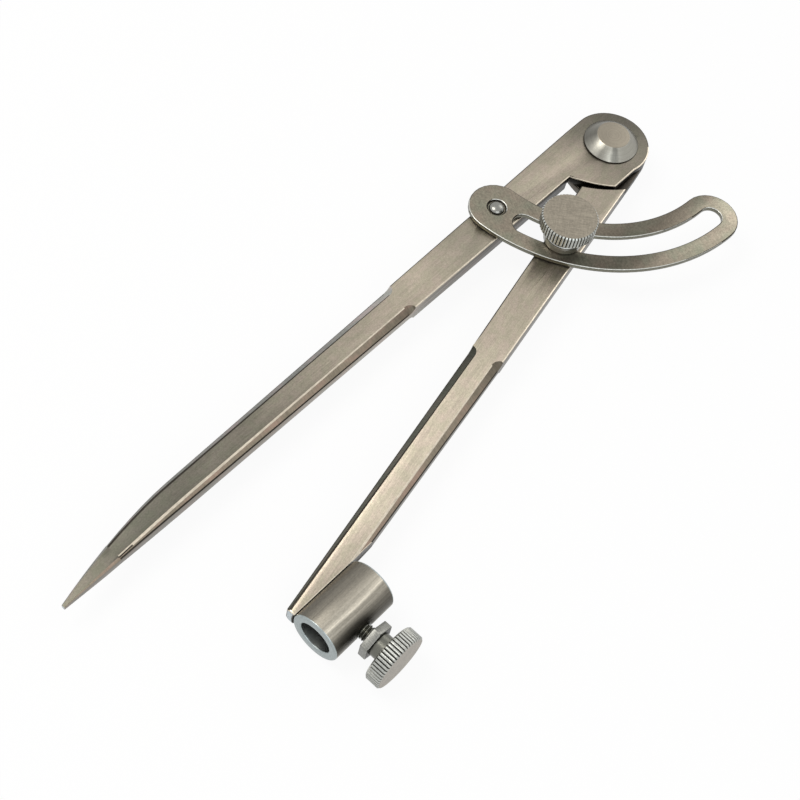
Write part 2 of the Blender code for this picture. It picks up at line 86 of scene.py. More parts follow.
# Parts of a face's normal by which the faces are sorted
FLAT_FACE = 0.9             # at least, along the axis that the face looks along
SIDE_FACE = 0.35            # at most, along the axis that the face stands beside
SLOPED_FACE = 0.5           # at least, for a chamfer, or for the upper side of the wing's rounded edge
CONE_EDGE = 0.8             # at least, upright, for the rounded edge between the cone and its flat
LEG_EDGE_OPEN = 0.05        # how far a leg's edge has to face +X and -Y to get a painted highlight
WING_EDGE_OPEN = 0.1        # the same for the wing's edge
OUTSIDE_SHARE = 0.9         # share of the sleeve's radius beyond which a face lies outside

# Where edges and faces get painted highlights and painted shade, and which edges stay sharp
LAP_LEVEL_SPREAD = 0.0004   # how far the laps' faces lie from the middle of the legs
HIGHLIT_DEPTH = 0.0007       # how far below the legs' upper faces an edge can still get a painted highlight
POCKET_REACH = 0.0034       # edges round the wing's rivet that are painted dark as shade
NOSE_START = 0.0765         # along a leg, the bevels' noses, whose edges stay sharp
NOSE_END = 0.0805
THIN_END = 0.174            # along a leg, from here its edges stay sharp

# Noise mostly stays between these
NOISE_LOW = 0.3
NOISE_HIGH = 0.7

# Thumb screws
RIB_STEPS = 5               # vertices from rib to rib
RIB_SHOULDER_SHARE = 0.12   # share of the grooves' depth by which a rib's shoulders stand back
CREST_REACH_SHARE = 0.35    # share of the grooves' depth that counts as a rib's crest
HUB_REACH_SHARE = 1.5       # depths of a groove inside which a face belongs to the hub
THREAD_CREST = (0.42, 0.58)     # shares of the pitch between which a thread is at its full height
THREAD_STEPS = 48

# Stage. A lamp has a name, a place, a size, a power and a colour.
LAMPS = (("key", (-0.35, -0.30, 0.75), 0.45, 3.0, (1.0, 0.97, 0.92)),
         ("fill", (0.60, -0.45, 0.55), 0.60, 1.6, (0.90, 0.96, 1.0)),
         ("back", (0.10, 0.75, 0.55), 0.50, 1.2, (1.0, 0.98, 0.95)))
LAMP_TARGET = (0.0, -0.08, 0.0)
FLOOR_SIZE = 6
FLOOR_COLOUR = (0.95, 0.95, 0.95, 1)
FLOOR_ROUGHNESS = 0.9
FLOOR_GLOW_SHARE = 0.92     # what is seen of the floor without its shadows
WORLD_LEVEL = 0.5           # as a light, against 1 where it is seen
WHITE = (1, 1, 1, 1)
CAMERA_PLACE = (0.11157471, -0.26922674, 0.31751109)
CAMERA_RIGHT = (0.73521860, 0.66450808, 0.13372591)
CAMERA_DOWN = (0.62410958, -0.58667200, -0.51604572)
CAMERA_AHEAD = (-0.26446330, 0.46286604, -0.84605803)
CAMERA_LENS = 71.1718
SENSOR_WIDTH = 36.0
CLIP_START = 0.01


def middle(node):
    """The middle of a node's box."""
    low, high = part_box(node)
    return (low + high) / 2


# Places, from the model's own pieces
LOCK_AXIS = middle("wing_clamp_washer")
CLAMP_AXIS = middle("pencil_clamp_stud")
SLEEVE_AXIS = middle("pencil_sleeve")
SLEEVE_RADIUS = SLEEVE_AXIS.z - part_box("pencil_sleeve")[0].z
WING_RIVET_AXIS = middle("wing_rivet")
LEG_MIDDLE = middle("pencil_leg").z
LEG_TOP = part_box("pencil_leg")[1].z
OPENING = math.radians(12.287)

# How far the legs' faces are painted with shade, and how bright they, their side walls and their bevels
# are painted, with painted highlights and shade, by distance from the hinge. All levels in these tables
# were set one by one. At 1 a colour is as written.
POINT_SHADE = ((-0.009, 0.85), (0.004, 0.68), (0.014, 0.22), (0.030, 0.30), (0.055, 0.40), (0.070, 0.0),
              (0.100, 0.30), (0.130, 0.78), (0.165, 1.0), (0.187, 0.85))
PENCIL_SHADE = ((0.0, 0.25), (0.033, 0.25), (0.040, 0.50), (0.0455, 0.42), (0.0495, 0.0), (0.070, 0.0),
               (0.095, 0.0), (0.150, 0.10))
POINT_SHINE = ((-0.009, 0.72), (0.0, 0.84), (0.010, 0.92), (0.016, 0.86), (0.030, 1.0), (0.187, 0.92))
PENCIL_SHINE = ((0.0, 1.0), (0.070, 1.0), (0.095, 1.30), (0.125, 1.42), (0.150, 1.02))
POINT_SIDE = ((0.0, 0.05), (0.020, 0.05), (0.032, 0.22), (0.050, 0.34), (0.073, 0.70), (0.080, 1.2),
              (0.110, 1.1), (0.150, 0.75))
PENCIL_SIDE = ((0.0, 0.06), (0.012, 0.06), (0.016, 0.40), (0.050, 0.50), (0.190, 0.6))
NOSE_LIGHT = ((0.0765, 0.30), (0.0790, 0.55), (0.084, 0.72), (0.100, 0.95), (0.150, 0.95))
SHOULDER_LIGHT = ((0.0765, 1.7), (0.085, 1.4), (0.100, 1.0))

# Painted light and shade on the wing: brightness along X, and its range along Y, from where it is
# dimmest to the hinge
WING_LIGHT = ((-0.014, 1.62), (0.002, 1.50), (0.008, 1.95), (0.0125, 1.75), (0.016, 1.08), (0.021, 0.72),
              (0.026, 0.62), (0.029, 0.80), (0.033, 1.45), (0.0375, 1.35), (0.042, 1.1))
WING_DIM_END = -0.026
WING_DIM = 0.72
WING_BRIGHT = 1.35

# Painted reflections and shade round the cone, by degrees from +X, and round the sleeve, by degrees from
# +X up
CONE_LIGHT = ((-180, 0.62), (-140, 0.45), (-118, 0.75), (-102, 1.25), (-90, 1.15), (-82, 0.72),
              (-70, 0.95), (-58, 1.10), (-50, 0.50), (-42, 0.45), (-34, 0.95), (0, 1.0), (42, 0.85),
              (120, 0.65), (180, 0.62))
SLEEVE_LIGHT = ((-180, 0.40), (-90, 0.60), (-25, 0.82), (-5, 0.74), (8, 0.33), (24, 0.28), (40, 0.44),
                (48, 0.70), (55, 1.05), (63, 0.92), (69, 2.10), (76, 1.30), (90, 0.90), (105, 0.60),
                (125, 0.52), (180, 0.40))

# The legs: node, turn about the hinge, tables, colour of the bevel on the far side, and its table
LEGS = (("point_leg", 0.0, POINT_SHADE, POINT_SHINE, POINT_SIDE, "cool_bevel", SHOULDER_LIGHT),
        ("pencil_leg", OPENING, PENCIL_SHADE, PENCIL_SHINE, PENCIL_SIDE, "dark_bevel", NOSE_LIGHT))


class CompassSizes(bpy.types.PropertyGroup):
    """Sizes of the details that the solid model leaves out."""

    leg_edge: FloatProperty(
        name="Leg edge", description="Width of the worn edges of the legs",
        default=0.00030, min=0.00001, unit='LENGTH')
    plate_edge: FloatProperty(
        name="Plate edge", description="Rounding of the wing's edges",
        default=0.00024, min=0.00001, unit='LENGTH')
    turned_edge: FloatProperty(
        name="Turned edge", description="Rounding of the turned pieces' edges",
        default=0.00010, min=0.00001, unit='LENGTH')
    knurl_ribs: IntProperty(
        name="Knurl ribs", description="Ribs round a thumb screw's head", default=52, min=12)
    knurl_depth: FloatProperty(
        name="Knurl depth", description="Depth of the grooves between the ribs",
        default=0.00040, min=0.00001, unit='LENGTH')
    knob_chamfer: FloatProperty(
        name="Knob chamfer", description="Chamfer on both rims of a thumb screw's head",
        default=0.00035, min=0.00001, unit='LENGTH')
    hub_radius: FloatProperty(
        name="Hub radius", description="Radius of the hub under a thumb screw's head",
        default=0.0030, min=0.0005, unit='LENGTH')
    hub_length: FloatProperty(
        name="Hub length", description="Length of the hub under a thumb screw's head",
        default=0.0026, min=0.0005, unit='LENGTH')
    thread_pitch: FloatProperty(
        name="Thread pitch", description="Advance of the thumb screws for one turn",
        default=0.0007, min=0.0002, unit='LENGTH')
    thread_depth: FloatProperty(
        name="Thread depth", description="Depth of the thumb screws' threads",
        default=0.00038, min=0.00005, unit='LENGTH')


class CompassColours(bpy.types.PropertyGroup):
    """Colours of the steel surfaces."""

    ground: FloatVectorProperty(
        name="Ground face", description="Flat faces of the legs",
        default=(0.42, 0.37, 0.297), size=3, subtype='COLOR')
    # Painted shade: the darkest colour of the legs' faces, mixed in along them by the shade tables
    shaded_ground: FloatVectorProperty(
        name="Tarnished face", description="Flat faces of the legs where they are dullest",
        default=(0.115, 0.112, 0.092), size=3, subtype='COLOR')
    side: FloatVectorProperty(
        name="Side wall", description="Side walls of the legs",
        default=(0.30, 0.285, 0.25), size=3, subtype='COLOR')
    warm_bevel: FloatVectorProperty(
        name="Warm bevel", description="Long bevels on the side of the pencil leg",
        default=(0.28, 0.24, 0.183), size=3, subtype='COLOR')
    cool_bevel: FloatVectorProperty(
        name="Cool bevel", description="Long bevel on the point leg's outer side",
        default=(0.24, 0.24, 0.22), size=3, subtype='COLOR')
    # Painted shade on the pencil leg's bevel that faces -X
    dark_bevel: FloatVectorProperty(
        name="Dark bevel", description="Long bevel on the pencil leg's inner side",
        default=(0.12, 0.124, 0.10), size=3, subtype='COLOR')
    # Painted highlight on the legs' upper edges that face +X and -Y
    edge: FloatVectorProperty(
        name="Worn edge", description="Edges rubbed bright",
        default=(0.66, 0.59, 0.48), size=3, subtype='COLOR')
    # Painted highlight on the wing's upper edges that face -Y
    plate_rim: FloatVectorProperty(
        name="Wing's rim", description="The wing's rubbed edges",
        default=(0.52, 0.52, 0.48), size=3, subtype='COLOR')
    # Painted shade on edges, crevices, laps, rims, the saddle under the sleeve and the nut's end faces
    soiled: FloatVectorProperty(
        name="Soiled edge", description="Edges and crevices in which dirt stays",
        default=(0.045, 0.04, 0.033), size=3, subtype='COLOR')
    bore: FloatVectorProperty(
        name="Bore", description="Inside of the pencil sleeve",
        default=(0.30, 0.31, 0.30), size=3, subtype='COLOR')
    end_face: FloatVectorProperty(
        name="End face", description="Faced ends of the sleeve",
        default=(0.36, 0.40, 0.40), size=3, subtype='COLOR')
    leg_end: FloatVectorProperty(
        name="Leg end", description="Faced end of the pencil leg",
        default=(0.47, 0.52, 0.54), size=3, subtype='COLOR')
    sheet: FloatVectorProperty(
        name="Sheet", description="The wing's satin faces",
        default=(0.19, 0.186, 0.148), size=3, subtype='COLOR')
    cone: FloatVectorProperty(
        name="Cone", description="Slope of the hinge rivet's head",
        default=(0.33, 0.32, 0.28), size=3, subtype='COLOR')
    tube: FloatVectorProperty(
        name="Tube", description="Outside of the pencil sleeve",
        default=(0.33, 0.305, 0.255), size=3, subtype='COLOR')
    turned: FloatVectorProperty(
        name="Turned", description="Turned rivet, collars and washer",
        default=(0.28, 0.25, 0.20), size=3, subtype='COLOR')
    crest: FloatVectorProperty(
        name="Crest", description="Crests of the knurled ribs",
        default=(0.45, 0.46, 0.43), size=3, subtype='COLOR')
    # Painted shade in the grooves between the ribs
    groove: FloatVectorProperty(
        name="Groove", description="Grooves between the knurled ribs",
        default=(0.17, 0.17, 0.155), size=3, subtype='COLOR')
    washer: FloatVectorProperty(
        name="Washer", description="Collar between the thumb screw and the wing",
        default=(0.35, 0.35, 0.33), size=3, subtype='COLOR')
    hub: FloatVectorProperty(
        name="Hub", description="Hubs and studs of the thumb screws",
        default=(0.15, 0.15, 0.13), size=3, subtype='COLOR')
    bright: FloatVectorProperty(
        name="Bright", description="Thumb screws and nut",
        default=(0.25, 0.25, 0.23), size=3, subtype='COLOR')


class Nodes:
    """Short calls for a material's nodes. Lengths in patterns are in metres."""

    def __init__(self, name):
        self.material = bpy.data.materials.new(name)
        self.material.use_nodes = True
        self.tree = self.material.node_tree
        self.shader = self.tree.nodes["Principled BSDF"]
        self.place = self.add("ShaderNodeTexCoord").outputs["Object"]

    def add(self, kind, inputs=None, **settings):
        """A node with its settings. An input is a value, or the socket that it is linked to."""
        made = self.tree.nodes.new(kind)
        for key, value in settings.items():
            setattr(made, key, value)
        for key, value in (inputs or {}).items():
            self.feed(made.inputs[key], value)
        return made

    def feed(self, socket, value):
        """Links a socket to an input, or sets its value."""
        if isinstance(value, bpy.types.NodeSocket):
            self.tree.links.new(value, socket)
        else:
            socket.default_value = value

    def math(self, operation, first, second=0.0):
        """One arithmetic step."""
        return self.add("ShaderNodeMath", {0: first, 1: second}, operation=operation).outputs[0]

    def noise(self, cell, turn=0.0, detail=3.0, rough=0.55):
        """Noise whose cells have the sizes given along X, Y and Z, turned about Z."""
        scale = tuple(1 / size for size in cell)
        mapped = self.add("ShaderNodeVectorRotate", {"Vector": self.place, "Angle": -turn},
                          rotation_type='Z_AXIS').outputs[0]
        mapped = self.add("ShaderNodeVectorMath", {0: mapped, 1: scale}, operation='MULTIPLY').outputs[0]
        return self.add("ShaderNodeTexNoise", {"Vector": mapped, "Scale": 1.0, "Detail": detail,
                                               "Roughness": rough}).outputs[0]

    def spread(self, value, low, high, first=0.0, last=1.0):
        """Maps a range of a value on another, clamped."""
        return self.add("ShaderNodeMapRange", {"Value": value, "From Min": low, "From Max": high,
                                               "To Min": first, "To Max": last}).outputs[0]

    def vary(self, pattern, first, last):
        """Maps the usual range of a noise on another."""
        return self.spread(pattern, NOISE_LOW, NOISE_HIGH, first, last)

    def mix(self, share, first, second, blend='MIX'):
        """Two colours mixed by a share."""
        made = self.add("ShaderNodeMix", {0: share}, data_type='RGBA', blend_type=blend)
        for socket, value in ((made.inputs[6], first), (made.inputs[7], second)):
            if not isinstance(value, bpy.types.NodeSocket):
                value = (*value, 1.0)
            self.feed(socket, value)
        return made.outputs[2]

    def lit(self, colour, value, table):
        """A colour as bright as a table says for a value."""
        return self.mix(1.0, colour, self.stops(value, table), 'MULTIPLY')

    def shade(self, colour, share, tint=(1.0, 1.0, 1.0)):
        """A colour made darker or lighter by a share. A plain colour and share give a plain colour."""
        if isinstance(share, bpy.types.NodeSocket):
            factor = self.add("ShaderNodeCombineColor", {0: share, 1: share, 2: share}).outputs[0]
        else:
            factor = tuple(part * share for part in tint)
            if not isinstance(colour, bpy.types.NodeSocket):
                return tuple(part * by for part, by in zip(colour, factor))
        return self.mix(1.0, colour, factor, 'MULTIPLY')

    def along(self, turn):
        """Distance from the hinge along a leg that is turned about Z."""
        direction = (math.sin(turn), -math.cos(turn), 0.0)
        return self.add("ShaderNodeVectorMath", {0: self.place, 1: direction},
                        operation='DOT_PRODUCT').outputs["Value"]

    def stops(self, value, table):
        """Level between the stops of a table, by a value."""
        low, high = table[0][0], table[-1][0]
        ramp = self.add("ShaderNodeValToRGB", {0: self.spread(value, low, high)})
        elements = ramp.color_ramp.elements
        for index, (position, level) in enumerate(table):
            share = (position - low) / (high - low)
            element = elements[index] if index < 2 else elements.new(share)
            element.position = share
            element.color = (level, level, level, 1.0)
        return ramp.outputs[0]

    def round_axis(self, centre, axis):
        """Angle in degrees round an axis, from the first of the other two axes."""
        _, flat = self.from_axis(centre, axis)
        parts = self.add("ShaderNodeSeparateXYZ", {0: flat}).outputs
        first, second = [index for index in range(3) if index != axis]
        angle = self.math('ARCTAN2', parts[second], parts[first])
        return self.math('MULTIPLY', angle, math.degrees(1.0))

    def from_axis(self, centre, axis):
        """Distance of a point from an axis, and the vector to it, across the axis."""
        moved = self.add("ShaderNodeVectorMath", {0: self.place, 1: tuple(centre)},
                         operation='SUBTRACT').outputs[0]
        across = tuple(0.0 if index == axis else 1.0 for index in range(3))
        flat = self.add("ShaderNodeVectorMath", {0: moved, 1: across},
                        operation='MULTIPLY').outputs[0]
        length = self.add("ShaderNodeVectorMath", {0: flat}, operation='LENGTH').outputs["Value"]
        return length, flat

    def rings(self, centre, axis, width):
        """Turning marks: noise that depends on the distance from an axis."""
        distance, _ = self.from_axis(centre, axis)
        line = self.add("ShaderNodeCombineXYZ", {0: self.math('DIVIDE', distance, width)}).outputs[0]
        return self.add("ShaderNodeTexNoise", {"Vector": line, "Scale": 1.0, "Detail": 4.0}).outputs[0]

    def turn_tangent(self, centre, axis):
        """The direction round an axis, for marks left by a lathe."""
        _, flat = self.from_axis(centre, axis)
        along = tuple(1.0 if index == axis else 0.0 for index in range(3))
        around = self.add("ShaderNodeVectorMath", {0: along, 1: flat},
                          operation='CROSS_PRODUCT').outputs[0]
        return self.add("ShaderNodeVectorTransform", {0: around}, vector_type='VECTOR',
                        convert_from='OBJECT', convert_to='WORLD').outputs[0]

    def finish(self, colour, roughness, height, depth, stretch=0.0, tangent=None):
        """Feeds the shader of a bare metal surface."""
        bump = self.add("ShaderNodeBump", {"Height": height, "Distance": depth, "Strength": 1.0})
        self.feed(self.shader.inputs["Base Color"], colour)
        self.feed(self.shader.inputs["Roughness"], roughness)
        self.feed(self.shader.inputs["Normal"], bump.outputs[0])
        self.shader.inputs["Metallic"].default_value = 1.0
        self.shader.inputs["Anisotropic"].default_value = stretch
        if tangent:
            self.feed(self.shader.inputs["Tangent"], tangent)
        return self.material


def ground_face(name, turn, colour, shaded_ground, shade_levels, shine):
    """Flat face ground lengthwise, with painted shade and painted highlights along it, faint stains and
    a fine grain.
    """
    n = Nodes(name)
    marks = n.noise((0.00017, 0.010, 0.0006), turn, 5.0, 0.6)
    grain = n.noise((0.00030, 0.00045, 0.0004), turn, 4.0, 0.7)
    stains = n.noise((0.0018, 0.0028, 0.0018), turn, 3.0)
    patches = n.noise((0.006, 0.014, 0.006), turn, 2.0)
    base = n.mix(n.stops(n.along(turn), shade_levels), colour, shaded_ground)
    pink = n.shade(base, 1.02, (1.02, 0.99, 1.0))
    green = n.shade(base, 0.98, (0.99, 1.01, 0.97))
    base = n.mix(n.spread(stains, 0.40, 0.60), pink, green)
    grained = n.math('ADD', n.vary(marks, -0.13, 0.13), n.vary(grain, 0.82, 1.18))
    level = n.math('MULTIPLY', grained, n.spread(patches, 0.35, 0.65, 0.95, 1.05))
    level = n.math('MULTIPLY', level, n.stops(n.along(turn), shine))
    rough = n.vary(marks, 0.34, 0.46)
    height = n.math('ADD', n.math('MULTIPLY', marks, 0.5), grain)
    return n.finish(n.shade(base, level), rough, height, 0.000010)


def ground_side(name, turn, colour, light):
    """Side wall of a leg, ground lengthwise, with painted light and shade along it, darkest as painted
    shade where the legs meet.
    """
    n = Nodes(name)
    marks = n.noise((0.0006, 0.010, 0.00025), turn, 4.0)
    fine = n.noise((0.0002, 0.0004, 0.0002), turn, 2.0)
    stains = n.noise((0.003, 0.004, 0.003), turn, 3.0)
    level = n.math('ADD', n.vary(marks, -0.12, 0.12), n.vary(fine, 0.92, 1.08))
    base = n.mix(n.spread(stains, 0.42, 0.6), colour, n.shade(colour, 1.05, (1.06, 0.97, 0.97)))
    base = n.lit(base, n.along(turn), light)
    return n.finish(n.shade(base, level), 0.38, marks, 0.000010)


def milled_bevel(name, turn, colour, light):
    """Long bevel with the marks of a cutter across it, and painted light and shade along it from a
    table, with painted shade or a painted highlight at its rounded end.
    """
    n = Nodes(name)
    marks = n.noise((0.002, 0.00030, 0.002), turn, 4.0)
    stains = n.noise((0.003, 0.006, 0.003), turn, 3.0)
    level = n.math('ADD', n.vary(marks, -0.15, 0.15), n.spread(stains, 0.35, 0.65, 0.88, 1.12))
    warm = n.mix(n.spread(stains, 0.45, 0.65), colour, n.shade(colour, 1.0, (1.10, 0.95, 0.98)))
    warm = n.lit(warm, n.along(turn), light)
    return n.finish(n.shade(warm, level), 0.42, marks, 0.000015)


def nicked_tone(name, colour):
    """A plain colour with small nicks, for painted highlights on edges, for painted shade, and for plain
    edges, faces and ribs.
    """
    n = Nodes(name)
    nicks = n.noise((0.0004, 0.0012, 0.0004), 0.0, 4.0)
    level = n.vary(nicks, 0.75, 1.15)
    return n.finish(n.shade(colour, level), 0.32, nicks, 0.000010)


def satin_sheet(name, colour):
    """Rolled sheet with a satin finish, painted with light and shade along X and Y, with grain,
    scratches and small stains.
    """
    n = Nodes(name)
    grain = n.noise((0.0005, 0.0005, 0.0005), 0.0, 4.0, 0.75)
    brushed = n.noise((0.004, 0.00018, 0.004), math.radians(-25), 4.0)
    stains = n.noise((0.005, 0.005, 0.005), 0.0, 3.0)
    across = n.add("ShaderNodeSeparateXYZ", {0: n.place}).outputs
    level = n.math('ADD', n.vary(grain, -0.28, 0.28), n.vary(brushed, 0.90, 1.10))
    base = n.mix(n.spread(stains, 0.4, 0.65), n.shade(colour, 1.0, (1.12, 0.99, 0.98)),
                 n.shade(colour, 1.0, (1.0, 1.0, 0.96)))
    base = n.lit(base, across[0], WING_LIGHT)
    base = n.shade(base, n.spread(across[1], WING_DIM_END, 0.0, WING_DIM, WING_BRIGHT))
    return n.finish(n.shade(base, level), n.vary(brushed, 0.38, 0.50), grain, 0.000012)


def turned_finish(name, colour, centre, axis, stretch=0.5, rough=0.32, light=None):
    """Turned on a lathe: fine rings round an axis, with painted highlights and shade round it where a
    table is given.
    """
    n = Nodes(name)
    rings = n.rings(centre, axis, 0.00020)
    fine = n.noise((0.0003, 0.0003, 0.0003), 0.0, 3.0)
    if light:
        wander = n.vary(n.noise((0.004, 0.004, 0.004)), -4.0, 4.0)
        colour = n.lit(colour, n.math('ADD', n.round_axis(centre, axis), wander), light)
    level = n.math('ADD', n.vary(rings, -0.16, 0.16), n.vary(fine, 0.93, 1.07))
    height = n.math('ADD', rings, n.math('MULTIPLY', fine, 0.3))
    tangent = n.turn_tangent(centre, axis)
    return n.finish(n.shade(colour, level), rough, height, 0.000012, stretch, tangent)


def drawn_tube(name, colour, centre):
    """Tube polished lengthwise, with long streaks and painted reflections and shade round it."""
    n = Nodes(name)
    streaks = n.noise((0.00035, 0.020, 0.00035), 0.0, 4.0, 0.6)
    wander = n.vary(n.noise((0.0030, 0.012, 0.0030), 0.0, 2.0), -2.5, 2.5)
    fine = n.noise((0.0003, 0.0006, 0.0003), 0.0, 3.0)
    base = n.lit(colour, n.math('ADD', n.round_axis(centre, 1), wander), SLEEVE_LIGHT)
    level = n.math('ADD', n.vary(streaks, -0.18, 0.18), n.vary(fine, 0.88, 1.12))
    height = n.math('ADD', streaks, n.math('MULTIPLY', fine, 0.3))
    return n.finish(n.shade(base, level), n.vary(streaks, 0.36, 0.48), height, 0.000008)


def brushed_face(name, colour, turn):
    """Flat face brushed in one direction, with fine scratches."""
    n = Nodes(name)
    marks = n.noise((0.0030, 0.00028, 0.002), turn, 5.0, 0.65)
    cross = n.noise((0.00035, 0.0022, 0.002), turn, 4.0)
    grain = n.noise((0.0004, 0.0004, 0.0004), turn, 3.0, 0.7)
    level = n.math('ADD', n.vary(marks, -0.20, 0.20), n.vary(cross, 0.90, 1.10))
    level = n.math('MULTIPLY', level, n.vary(grain, 0.84, 1.12))
    return n.finish(n.shade(colour, level), 0.36, marks, 0.000010)


def deselect():
    """Leaves edit mode and selects nothing."""
    if bpy.context.object and bpy.context.object.mode != 'OBJECT':
        bpy.ops.object.mode_set(mode='OBJECT')
    bpy.ops.object.select_all(action='DESELECT')


def pick(item):
    """Makes an object the only selected and active one."""
    deselect()
    item.select_set(True)
    bpy.context.view_layer.objects.active = item


def edit(item):
    """Enters edit mode with nothing selected."""
    pick(item)
    bpy.ops.object.mode_set(mode='EDIT')
    bpy.ops.mesh.select_mode(type='VERT')
    bpy.ops.mesh.select_all(action='DESELECT')


def choose(item, test, kind='FACE'):
    """Selects the faces, edges or vertices of the mesh under edit that pass a test."""
    bpy.ops.mesh.select_mode(type=kind)
    bpy.ops.mesh.select_all(action='DESELECT')
    mesh = bmesh.from_edit_mesh(item.data)
    elements = {'FACE': mesh.faces, 'EDGE': mesh.edges, 'VERT': mesh.verts}[kind]
    for element in elements:
        element.select_set(test(element))
    mesh.select_flush_mode()
    bmesh.update_edit_mesh(item.data)


def worn_copy(node, name):
    """A copy of a node's shape as one clean mesh, ready to be worn at its edges."""
    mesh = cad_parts[node].data.copy()
    mesh.name = name
    mesh.materials.clear()
    for _ in range(EDGE_SLOT + 1):
        mesh.materials.append(None)
    item = bpy.data.objects.new(name, mesh)
    bpy.context.scene.collection.objects.link(item)
    edit(item)
    bpy.ops.mesh.select_all(action='SELECT')
    bpy.ops.mesh.customdata_custom_splitnormals_clear()
    bpy.ops.mesh.remove_doubles(threshold=MERGE_DISTANCE)
    bpy.ops.mesh.dissolve_limited(angle_limit=FLAT_ANGLE)
    bpy.ops.object.mode_set(mode='OBJECT')
    return item


def round_edges(item, width, segments=2, left_sharp=None):
    """Rounds the sharp edges, but not those that pass a test, and gives them the edge slot."""
    edit(item)

    def is_worn(edge):
        steep = len(edge.link_faces) == 2 and edge.calc_face_angle() > EDGE_ANGLE
        return steep and not (left_sharp and left_sharp(edge))

    choose(item, is_worn, 'EDGE')
    bpy.ops.transform.edge_bevelweight(value=1.0)
    bpy.ops.object.mode_set(mode='OBJECT')
    rounding = item.modifiers.new("rounding", 'BEVEL')
    rounding.width = width
    rounding.segments = segments
    rounding.limit_method = 'WEIGHT'
    rounding.use_clamp_overlap = False
    rounding.material = EDGE_SLOT
    rounding.miter_outer = 'MITER_ARC'
    bpy.ops.object.modifier_apply(modifier=rounding.name)


def smooth(item):
    """Smooth shading with sharp edges where faces meet steeply."""
    pick(item)
    bpy.ops.object.shade_smooth_by_angle(angle=SMOOTH_ANGLE)


def dress(item, node, body, materials, sort=None):
    """Gives a finished piece its materials and its body, and hides the node that it stands for."""
    for index, material in enumerate(materials):
        if index < len(item.data.materials):
            item.data.materials[index] = material
        else:
            item.data.materials.append(material)
    if sort:
        for face in item.data.polygons:
            face.material_index = sort(face)
    smooth(item)
    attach(item, body)
    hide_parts(node)


def leg_sort(face):
    """Slot of a leg's face, by its slope, its side and its place."""
    normal, centre = face.normal, face.center
    from_sleeve = math.hypot(centre.x - SLEEVE_AXIS.x, centre.z - SLEEVE_AXIS.z)
    # Upper edges that face +X and -Y get a painted highlight; the other rounded edges get painted shade
    if face.material_index == EDGE_SLOT:
        highlit = centre.z > LEG_TOP - HIGHLIT_DEPTH and normal.x - normal.y > LEG_EDGE_OPEN
        return EDGE_SLOT if highlit else PAINTED_SHADE_SLOT
    # The laps' faces between the legs get painted shade
    if abs(normal.z) > FLAT_FACE:
        return PAINTED_SHADE_SLOT if abs(centre.z - LEG_MIDDLE) < LAP_LEVEL_SPREAD else 0
    if centre.y < SLEEVE_AXIS.y - SLEEVE_RADIUS and normal.y < -FLAT_FACE:
        return END_SLOT
    # The saddle under the sleeve gets painted shade
    at_saddle = from_sleeve < SLEEVE_RADIUS + LAP_LEVEL_SPREAD
    if at_saddle and centre.y < SLEEVE_AXIS.y + SLEEVE_RADIUS * 2:
        return PAINTED_SHADE_SLOT
    if abs(normal.z) < SIDE_FACE:
        return 1
    # Bevels facing +X and -X take different colours and tables, painted as lit and shaded sides
    return 2 if normal.x > 0 else FAR_BEVEL_SLOT


def leg_left_sharp(turn):
    """A test for the edges of a leg that stay sharp: round the bevels' noses and at the thin end."""
    down_leg = Vector((math.sin(turn), -math.cos(turn), 0.0))

    def stays_sharp(edge):
        distance = ((edge.verts[0].co + edge.verts[1].co) / 2).dot(down_leg)
        return NOSE_START < distance < NOSE_END or distance > THIN_END

    return stays_sharp


class COMPASS_OT_legs(bpy.types.Operator):
    """The two ground legs with worn edges"""

    bl_idname = "compass.legs"
    bl_label = "Legs"

    def execute(self, context):
        sizes, colours = context.scene.compass_sizes, context.scene.compass_colours
        for node, turn, shade_levels, shine, light, far_bevel, far_light in LEGS:
            leg = worn_copy(node, f"{node}_ground")
            round_edges(leg, sizes.leg_edge, left_sharp=leg_left_sharp(turn))
            face = ground_face(f"{node}_face", turn, tuple(colours.ground), tuple(colours.shaded_ground),
                               shade_levels, shine)
            side = ground_side(f"{node}_side", turn, tuple(colours.side), light)
            bevel = milled_bevel(f"{node}_bevel", turn, tuple(colours.warm_bevel), NOSE_LIGHT)
            # Painted highlights on edges, and painted shade on edges and crevices
            edge = nicked_tone(f"{node}_edge", tuple(colours.edge))
            far_bevel = milled_bevel(f"{node}_far_bevel", turn, tuple(getattr(colours, far_bevel)),
                                     far_light)
            soiled = nicked_tone(f"{node}_soiled", tuple(colours.soiled))
            end = nicked_tone(f"{node}_end", tuple(colours.leg_end))
            dress(leg, node, f"{node}_body",
                  [face, side, bevel, edge, far_bevel, soiled, end], leg_sort)
        return {'FINISHED'}


def cone_sort(face):
    """Slot of a face of the conical rivet or collar: cone, flat, or the rim at its foot, painted dark as
    shade.
    """
    upright = abs(face.normal.z)
    if face.material_index == EDGE_SLOT:
        return 1 if upright > CONE_EDGE else 2
    if upright > FLAT_FACE:
        return 1
    return 2 if upright < SIDE_FACE else 0


class COMPASS_OT_hinge(bpy.types.Operator):
    """The hinge's conical rivet and the collar under it"""

    bl_idname = "compass.hinge"
    bl_label = "Hinge"

    def execute(self, context):
        sizes, colours = context.scene.compass_sizes, context.scene.compass_colours
        for node, finish in (("hinge_rivet", "rivet"), ("hinge_rear_collar", "collar")):
            item = worn_copy(node, f"{node}_turned")
            round_edges(item, sizes.turned_edge)
            cone = turned_finish(f"{finish}_cone", tuple(colours.cone), (0, 0, 0), 2, 0.3, 0.34,
                                 CONE_LIGHT)
            flat = turned_finish(f"{finish}_flat", tuple(colours.turned), (0, 0, 0), 2, 0.3, 0.40)
            # The rim material is painted shade
            rim = nicked_tone(f"{finish}_rim", tuple(colours.soiled))
            dress(item, node, "point_leg_body", [cone, flat, rim, rim], cone_sort)
        return {'FINISHED'}


